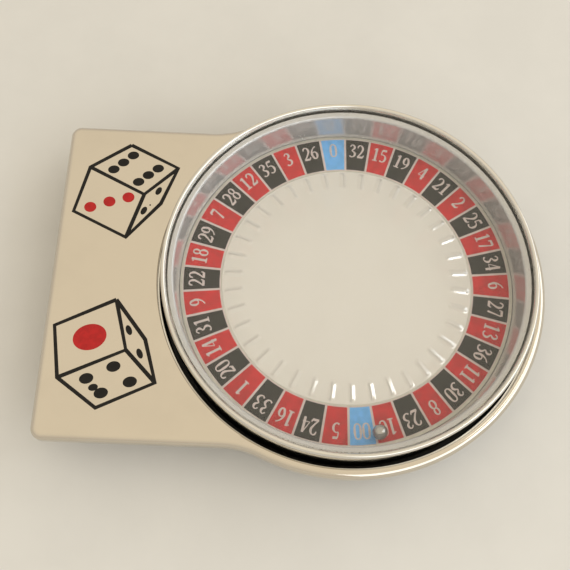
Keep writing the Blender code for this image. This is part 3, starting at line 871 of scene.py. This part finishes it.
def fret_lift(place):
    """How far the nearest fret lifts the disc at a place."""
    reach = math.hypot(place.x - AXIS.x, place.y)
    angle = math.degrees(math.atan2(place.y, place.x - AXIS.x)) - ZERO_ANGLE - FRET_SHIFT
    across = math.radians(abs(angle % SECTOR - SECTOR / 2)) * reach
    along = min(reach - FRET_START, FRET_END - reach)
    return FRET_HEIGHT * max(1 - across / (FRET_WIDTH / 2), 0.0) * ease(along / FRET_FADE)


reaches = DOME_REACHES + [
    FRET_START + (FRET_END - FRET_START) * step / FRET_RINGS for step in range(FRET_RINGS + 1)
]
disc_section = [(reach, dome(reach)) for reach in reaches] + [
    (DISC_STEP, PRINT_TOP), (DISC_STEP, DISC_RIM), (DISC_RADIUS, DISC_RIM), (DISC_RADIUS, DISC_BASE),
]
inside = DISC_STEP - DISC_SHEET
disc_section += [(inside, DISC_BASE)] + [
    (reach, dome(reach) - DISC_SHEET) for reach in (inside, *UNDER_REACHES)
]
disc = turned(disc_section, steps=POCKETS * FRET_STEPS)
for vert in disc.verts:
    reach = math.hypot(vert.co.x - AXIS.x, vert.co.y)
    if FRET_START < reach < FRET_END and vert.co.z > dome(reach) - NEAR:
        vert.co.z += fret_lift(vert.co)
# The disc's finish carries painted shade along one flank of each fret.
plated(
    "polished_disc", DISC_PLATING, sharp=0.08, dull=0.13, waves=0.02, wave_size=60.0, metal=0.55,
    painted_shade=painted_fret_shade,
)
add_piece("fretted_disc", disc, "polished_disc", "drum", "fret_disc")

# %% [markdown]
# ## The ball
# The ball is a real sphere, ground and polished. A sphere of rings has poles that
# show in a reflection, so it starts as an icosphere.

# %% Make the ball
ball_low, ball_high = box_corners("steel_ball")
BALL_RADIUS = (ball_high.z - ball_low.z) / 2
ball = bmesh.new()
bmesh.ops.create_icosphere(
    ball, subdivisions=5, radius=BALL_RADIUS, matrix=Matrix.Translation((ball_low + ball_high) / 2)
)
add_piece("polished_ball", ball, "ball_steel", "ball", "steel_ball")

# %% [markdown]
# ## The pivot, its washers and the stud
# A riveted pivot and a button stud pass through the cup's floor, each on a washer.
# All are turned parts, so each is one outline with its corners broken by a bevel.

# %% Turn the small parts
HEAD_BASE, PIVOT_TOP = levels("pivot_post")
HEAD_TOP = HEAD_BASE + 0.6
SEAT = CUP_FLOOR + 0.3
GROOVE_LOW, GROOVE_HIGH = 7.35, 8.0
HEAD, NECK, PIVOT, GROOVE = 4.0, 1.8, 2.3, 1.7
pivot = turned([
    (0, HEAD_BASE), (HEAD, HEAD_BASE), (HEAD, HEAD_TOP), (NECK, HEAD_TOP), (NECK, SEAT), (PIVOT, SEAT),
    (PIVOT, GROOVE_LOW), (GROOVE, GROOVE_LOW), (GROOVE, GROOVE_HIGH), (PIVOT, GROOVE_HIGH),
    (PIVOT, PIVOT_TOP), (0, PIVOT_TOP),
], steps=SMALL_STEPS)
pivot = rounded(pivot, [(HEAD, HEAD_BASE, 0.45), (HEAD, HEAD_TOP, 0.06), (PIVOT, PIVOT_TOP, 0.15)])
add_piece("turned_rivet", pivot, "turned_pivot", "case", "pivot_post")


def washer(name, node, bore, centre, look, edge):
    """A flat washer with broken corners, in the place of its node."""
    base, top = levels(node)
    outside = radius_of(node)
    mesh = turned([(bore, base), (outside, base), (outside, top), (bore, top)], centre, SMALL_STEPS)
    corners = [(reach, height, edge) for reach in (bore, outside) for height in (base, top)]
    add_piece(name, rounded(mesh, corners, centre, segments=3), look, "case", node)


washer("rivet_washer", "pivot_washer", PIVOT_HOLE, AXIS, "plated_washer", edge=0.08)
washer("flat_stud_washer", "stud_washer", STUD_HOLE, STUD_AXIS, "stud_washer", edge=0.1)

BUTTON, SHANK, TENON, RIVET = 3.2, 1.9, 1.2, 2.2
BUTTON_TOP, SHOULDER = 1.2, 3.3
STUD_TOP = stud_high.z
stud = turned([
    (0, 0), (BUTTON, 0), (BUTTON, BUTTON_TOP), (SHANK, BUTTON_TOP), (SHANK, SHOULDER), (TENON, SHOULDER),
    (TENON, SEAT), (RIVET, SEAT), (RIVET, STUD_TOP), (0, STUD_TOP),
], STUD_AXIS, SMALL_STEPS)
stud = rounded(
    stud,
    [(BUTTON, 0, 0.4), (BUTTON, BUTTON_TOP, 0.4), (SHANK, BUTTON_TOP, 0.15), (RIVET, STUD_TOP, 0.1)],
    STUD_AXIS, segments=6,
)
add_piece("button_stud", stud, "plated_stud", "case", "belt_stud")

# %% [markdown]
# ## The belt loop and its lugs
# The loop is round wire bent in a jig: straight runs, two wide corners and two tight
# elbows whose ends sit in the lugs. A curve with a round section follows that path,
# where a spun tube would need a spin for each bend. It is turned into a mesh, which is
# then tipped to its place at rest. The lugs are copies of their solids with softened
# edges, since their shape is already right.

# %% Bend the wire
WIRE = 1.1
LOOP_ARM = 11.5
LOOP_HALF = 21.2
LOOP_CORNER = 3.0
LOOP_ELBOW = 1.3
HINGE_HEIGHT = 6.3
CURVE_STEPS = 6
lug_low, lug_high = box_corners("loop_lug_upper")
loop_low, loop_high = box_corners("belt_loop")
HINGE = Vector(((lug_low.x + lug_high.x) / 2, (loop_low.y + loop_high.y) / 2, HINGE_HEIGHT))
LOOP_REST = math.asin((HINGE.z - WIRE) / LOOP_ARM)


def curve_mesh(name, runs, depth, resolution):
    """A round wire along one or more runs of (place, width) points, as a mesh in millimetres."""
    curve = bpy.data.curves.new(name, "CURVE")
    curve.dimensions = "3D"
    curve.bevel_depth = depth
    curve.bevel_resolution = resolution
    curve.use_fill_caps = True
    for kind, points in runs:
        spline = curve.splines.new("BEZIER")
        spline.bezier_points.add(len(points) - 1)
        spline.use_cyclic_u = kind == "closed"
        spline.resolution_u = 1 if kind == "straight" else CURVE_STEPS
        for point, (place, width) in zip(spline.bezier_points, points):
            point.co = (*place, 0.0)
            point.radius = width
            handle = "VECTOR" if kind == "straight" else "AUTO"
            point.handle_left_type = point.handle_right_type = handle
    made = bpy.data.objects.new(name, curve)
    bpy.context.collection.objects.link(made)
    seen = made.evaluated_get(bpy.context.evaluated_depsgraph_get())
    mesh = bpy.data.meshes.new_from_object(seen)
    bpy.data.objects.remove(made)
    bpy.data.curves.remove(curve)
    return mesh


PIN_END = loop_high.y - HINGE.y
side = [(0, PIN_END), (0, LOOP_HALF + LOOP_ELBOW)]
side += arc((-LOOP_ELBOW, LOOP_HALF + LOOP_ELBOW), LOOP_ELBOW, 0, -90, steps=12)[1:]
side += arc((LOOP_CORNER - LOOP_ARM, LOOP_HALF - LOOP_CORNER), LOOP_CORNER, 90, 180, steps=16)
path = side + [(x, -y) for x, y in reversed(side)]
wire = curve_mesh("bent_wire", [("straight", [(place, 1.0) for place in path])], WIRE, resolution=6)
wire.transform(Matrix.Translation(HINGE) @ Matrix.Rotation(-LOOP_REST, 4, "Y"))
add_piece("bent_wire", wire, "plated_wire", "loop", "belt_loop")


def softened(name, node, look, width):
    """A copy of a node's solid with its sharp edges rounded."""
    mesh = bmesh.new()
    mesh.from_mesh(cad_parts[node].data)
    bmesh.ops.scale(mesh, vec=(1 / MM, 1 / MM, 1 / MM), verts=mesh.verts)
    bmesh.ops.remove_doubles(mesh, verts=mesh.verts, dist=NEAR)
    bmesh.ops.dissolve_limit(mesh, angle_limit=math.radians(2), verts=mesh.verts, edges=mesh.edges)
    sharp = [edge for edge in mesh.edges if edge.is_manifold and edge.calc_face_angle() > SHARP]
    bevelled(mesh, sharp, width, segments=3)
    add_piece(name, mesh, look, "case", node)


softened("upper_ear", "loop_lug_upper", "lug_steel", width=0.12)
softened("lower_ear", "loop_lug_lower", "lug_steel", width=0.12)

# %% [markdown]
# ## The numbers
# The numerals are narrow and have thick upright and thin level strokes. A font from
# the computer may be missing elsewhere, so each numeral is drawn as pen strokes: a
# curve whose radius changes from point to point. Flattened, a stroke becomes a low
# ridge of ink. Each numeral is made once, with the 6 turned over for the 9, and the
# labels are stamped from them.

# %% Draw ten numerals with a pen
THIN = 0.075
MID = 0.11
THICK = 0.155
NUMERALS = {
    "0": [
        ("closed", [((0.25, 0.96), THIN), ((0.43, 0.5), THICK), ((0.25, 0.04), THIN), ((0.07, 0.5), THICK)]),
    ],
    "1": [
        ("straight", [((0.27, 0.0), THICK), ((0.27, 0.98), THICK)]),
        ("straight", [((0.27, 0.94), THIN), ((0.10, 0.84), THIN)]),
        ("straight", [((0.10, 0.03), THIN), ((0.44, 0.03), THIN)]),
    ],
    "2": [
        ("open", [
            ((0.07, 0.74), THIN), ((0.12, 0.90), MID), ((0.25, 0.96), THIN), ((0.41, 0.74), THICK),
            ((0.30, 0.40), MID), ((0.06, 0.06), THIN),
        ]),
        ("straight", [((0.05, 0.06), THICK), ((0.42, 0.06), THICK)]),
        ("straight", [((0.42, 0.06), THIN), ((0.47, 0.22), THIN)]),
    ],
    "3": [
        ("open", [((0.08, 0.82), THIN), ((0.24, 0.96), THIN), ((0.38, 0.77), THICK), ((0.20, 0.54), THIN)]),
        ("open", [((0.20, 0.54), THIN), ((0.42, 0.28), THICK), ((0.22, 0.04), THIN), ((0.06, 0.12), MID)]),
    ],
    "4": [
        ("straight", [((0.35, 0.97), THIN), ((0.04, 0.28), THIN), ((0.48, 0.28), THIN)]),
        ("straight", [((0.36, 0.97), THICK), ((0.36, 0.0), THICK)]),
    ],
    "5": [
        ("straight", [((0.14, 0.92), THICK), ((0.42, 0.92), THICK)]),
        ("straight", [((0.13, 0.92), THIN), ((0.09, 0.58), THIN)]),
        ("open", [
            ((0.09, 0.57), THIN), ((0.27, 0.58), THIN), ((0.41, 0.32), THICK), ((0.24, 0.04), THIN),
            ((0.06, 0.10), MID),
        ]),
    ],
    "6": [
        ("open", [((0.40, 0.96), THIN), ((0.19, 0.78), THIN), ((0.08, 0.38), THICK), ((0.24, 0.04), THIN)]),
        ("closed", [
            ((0.26, 0.56), THIN), ((0.42, 0.30), THICK), ((0.25, 0.04), THIN), ((0.09, 0.30), THIN),
        ]),
    ],
    "7": [
        ("straight", [((0.07, 0.92), THICK), ((0.44, 0.92), THICK)]),
        ("straight", [((0.07, 0.92), THIN), ((0.06, 0.76), THIN)]),
        ("straight", [((0.44, 0.90), THIN), ((0.22, 0.02), 0.13)]),
    ],
    "8": [
        ("closed", [((0.25, 0.96), THIN), ((0.39, 0.77), 0.12), ((0.25, 0.55), THIN), ((0.11, 0.77), 0.12)]),
        ("closed", [((0.25, 0.55), THIN), ((0.42, 0.29), 0.14), ((0.25, 0.04), THIN), ((0.08, 0.29), 0.14)]),
    ],
}
DIGIT_HEIGHT = 2.6
DIGIT_ADVANCE = 0.53
INK_RISE = 0.12


def pen_mesh(name, strokes, size):
    """Pen strokes drawn at a size in millimetres, pressed flat."""
    runs = [
        (kind, [((x * size, y * size), width) for (x, y), width in points]) for kind, points in strokes
    ]
    mesh = curve_mesh(name, runs, size / 2, resolution=2)
    mesh.transform(Matrix.Diagonal((1, 1, INK_RISE, 1)))
    return mesh


half_turn = Matrix.Translation((0.5 * DIGIT_HEIGHT, DIGIT_HEIGHT, 0)) @ Matrix.Rotation(math.pi, 4, "Z")
numerals = {
    digit: pen_mesh("numeral_" + digit, strokes, DIGIT_HEIGHT) for digit, strokes in NUMERALS.items()
}
numerals["9"] = numerals["6"].copy()
numerals["9"].transform(half_turn)
print("numerals drawn:", "".join(sorted(numerals)))

# %% [markdown]
# ## Stamping the labels
# The pockets have the usual order of a wheel with one zero, and a 00 is put in
# between 10 and 5. Each label's foot is towards the middle, so it stands upright to
# someone who looks out from there.

# %% Stamp the labels round the ring
LABELS = (
    "0 32 15 19 4 21 2 25 17 34 6 27 13 36 11 30 8 23 10 00 5 24 16 33 1 20 14 31 9 22 18 29 7 28 12 35 3 26"
).split()
LABEL_FOOT = 23.45
labels = bmesh.new()
for number, label in enumerate(LABELS):
    turn = Matrix.Rotation(math.radians(ZERO_ANGLE - 90 - number * SECTOR), 4, "Z")
    for place, digit in enumerate(label):
        shift = (place - len(label) / 2) * DIGIT_ADVANCE * DIGIT_HEIGHT
        stamp = numerals[digit].copy()
        stamp.transform(
            Matrix.Translation((AXIS.x, 0, PRINT_TOP)) @ turn @ Matrix.Translation((shift, LABEL_FOOT, 0))
        )
        labels.from_mesh(stamp)
        bpy.data.meshes.remove(stamp)
for mesh in numerals.values():
    bpy.data.meshes.remove(mesh)
add_piece("number_print", labels, "number_ink", "drum")

# %% [markdown]
# ## The dice on the plate
# Two dice are printed on the plate in black outline, with black and red spots. They
# are drawn a little off true, as if by hand. The outlines are pen strokes again. A
# spot is a low disc of ink with a rounded rim.

# %% Print the dice
DICE_PEN = 0.66
SPOT_STEPS = 40
SPOT_RISE = 0.05
SPOT_ROUND = 0.04
UPPER_DIE = {
    "top": (-29.49, 22.36), "right": (-21.21, 18.32), "left": (-36.01, 17.82), "middle": (-26.51, 13.15),
    "low_left": (-37.84, 9.49), "foot": (-28.79, 5.19), "low_right": (-23.61, 11.57),
}
LOWER_DIE = {
    "top": (-29.16, -5.69), "right": (-24.00, -12.08), "left": (-38.36, -10.37), "middle": (-26.85, -13.91),
    "low_left": (-36.89, -18.73), "foot": (-30.53, -23.21), "low_right": (-21.86, -18.95),
}
OUTLINES = (
    (UPPER_DIE, "top right low_right foot low_left left top"),
    (UPPER_DIE, "left middle right"),
    (UPPER_DIE, "middle foot"),
    (LOWER_DIE, "top right low_right foot low_left left top"),
    (LOWER_DIE, "top middle low_left"),
    (LOWER_DIE, "middle low_right"),
)
runs = [
    ("straight", [(die[corner], DICE_PEN) for corner in corners.split()]) for die, corners in OUTLINES
]
outlines = curve_mesh("dice_outlines", runs, depth=0.5, resolution=2)
outlines.transform(Matrix.Translation((0, 0, PLATE_TOP)) @ Matrix.Diagonal((1, 1, INK_RISE, 1)))
add_piece("dice_outlines", outlines, "black_ink", "case")


def spots(name, look, places):
    """Low discs of ink, each given as (x, y, half width, half height, tilt)."""
    mesh = bmesh.new()
    for x, y, wide, high, tilt in places:
        matrix = (
            Matrix.Translation((x, y, PLATE_TOP)) @ Matrix.Rotation(math.radians(tilt), 4, "Z")
            @ Matrix.Diagonal((wide, high, 1, 1))
        )
        spot = bmesh.ops.create_circle(
            mesh, segments=SPOT_STEPS, radius=1, cap_ends=True, matrix=matrix
        )
        face = spot["verts"][0].link_faces[0]
        raised = bmesh.ops.extrude_face_region(mesh, geom=[face])["geom"]
        top = [part for part in raised if isinstance(part, bmesh.types.BMVert)]
        bmesh.ops.translate(mesh, verts=top, vec=(0, 0, SPOT_RISE))
        rim = [part for part in raised if isinstance(part, bmesh.types.BMEdge)]
        bevelled(mesh, rim, SPOT_ROUND, segments=2)
    bmesh.ops.recalc_face_normals(mesh, faces=mesh.faces)
    add_piece(name, mesh, look, "case")


UPPER_TOP = (0.97, 0.75, 10)
UPPER_SIDE = (0.46, 0.78, -25)
UPPER_LEFT = (1.0, 0.92, 0)
LOWER_FRONT = (1.10, 0.84, 15)
LOWER_SIDE = (0.46, 0.86, 25)
spots("black_spots", "black_ink", [
    (-29.03, 20.40, *UPPER_TOP), (-30.55, 18.97, *UPPER_TOP), (-32.05, 17.57, *UPPER_TOP),
    (-24.61, 18.11, *UPPER_TOP), (-26.15, 16.79, *UPPER_TOP), (-27.67, 15.42, *UPPER_TOP),
    (-24.17, 13.89, *UPPER_SIDE), (-26.30, 10.14, *UPPER_SIDE), (-25.35, 11.22, 0.14, 0.14, 0),
    (-32.43, -18.71, *LOWER_FRONT), (-28.48, -16.65, *LOWER_FRONT), (-29.95, -20.89, *LOWER_FRONT),
    (-25.72, -18.97, *LOWER_FRONT), (-31.23, -20.06, 0.75, 0.55, 15),
    (-26.69, -10.67, *LOWER_SIDE), (-24.65, -14.41, *LOWER_SIDE),
])
spots("red_spots", "red_ink", [
    (-35.19, 10.38, *UPPER_LEFT), (-32.14, 11.53, *UPPER_LEFT), (-29.08, 12.46, *UPPER_LEFT),
    (-32.67, -12.07, 2.65, 2.1, 20),
])

# %% [markdown]
# ## The solids that stay
# The bowl, the bush, the nylon washer and the clip are right as they are. They only
# get a better finish, in the place of the plain colour that they came with.

# %% Finish the remaining solids
for node, look in (
    ("drum_bowl", "spun_bowl"), ("drum_bush", "brass_bush"), ("thrust_washer", "nylon"),
    ("retaining_clip", "spring_steel"),
):
    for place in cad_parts[node].material_slots:
        place.material = looks[look]
    print(node, "is finished as", look)

# %% [markdown]
# ## Floor, room and lamps
# Polished metal shows its room more than itself, so the room matters more than the
# lamps here. The sky is a warm white overhead and a warm grey at the horizon.
# Two wide cool windows light the right side, and a narrow lamp high on the right draws
# the white strokes on the frets there.

# %% Build the room
FLOOR_HALF = 1.5
FLOOR_COLOUR = (0.67, 0.66, 0.64)
ZENITH = (1.0, 0.90, 0.72, 1.0)
HORIZON = (0.70, 0.65, 0.565, 1.0)
LAMP_WHITE = (0.95, 0.97, 1.0)
WINDOW_BLUE = (0.82, 0.91, 1.0)
floor_mesh = bmesh.new()
bmesh.ops.create_grid(floor_mesh, x_segments=1, y_segments=1, size=FLOOR_HALF)
floor_data = bpy.data.meshes.new("floor")
floor_mesh.to_mesh(floor_data)
floor_mesh.free()
floor = bpy.data.objects.new("floor", floor_data)
bpy.context.collection.objects.link(floor)
tree = new_tree("pale_floor")
tree.set(Base_Color=mottled(tree, FLOOR_COLOUR, amount=0.02, scale=60.0), Roughness=0.7)
floor_data.materials.append(looks["pale_floor"])
floor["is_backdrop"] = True

bpy.context.scene.world = bpy.data.worlds.new("room")
sky = Tree(bpy.context.scene.world)
height = sky.node("ShaderNodeSeparateXYZ", Vector=sky.node("ShaderNodeTexCoord")).out("Z")
sky.set(Color=sky.mix(height.between(0.0, 1.05), HORIZON, ZENITH))


def lamp(name, place, width, height, watts, colour, tilt=0):
    """A flat soft lamp at a place in metres, turned towards the buckle and tilted in its plane."""
    data = bpy.data.lights.new(name, "AREA")
    data.shape = "RECTANGLE"
    data.size = width
    data.size_y = height
    data.energy = watts
    data.color = colour
    made = bpy.data.objects.new(name, data)
    bpy.context.collection.objects.link(made)
    made.location = place
    made.rotation_euler = (-Vector(place)).to_track_quat("-Z", "Y").to_euler()
    made.rotation_euler.rotate_axis("Z", math.radians(tilt))


lamp("narrow lamp", (0.37, 0.03, 0.6), width=0.26, height=0.06, watts=0.14, colour=LAMP_WHITE, tilt=-36)
lamp("right window", (0.59, 0.06, 0.36), width=0.8, height=0.4, watts=1.3, colour=WINDOW_BLUE)
lamp("near window", (0.37, -0.47, 0.36), width=0.7, height=0.4, watts=1.1, colour=WINDOW_BLUE)
print("room and lamps ready")

# %% [markdown]
# ## The size of the dressed model
# The boxes of the solids and of the dressed model are printed side by side. The
# dressed model may not grow past the solids that carry its record of size.

# %% Print both boxes
NEW_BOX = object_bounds()
boxes = {"cad": CAD_BOX, "scene": NEW_BOX}
for name, box in boxes.items():
    print(name, [[round(value / MM, 2) for value in corner] for corner in box])
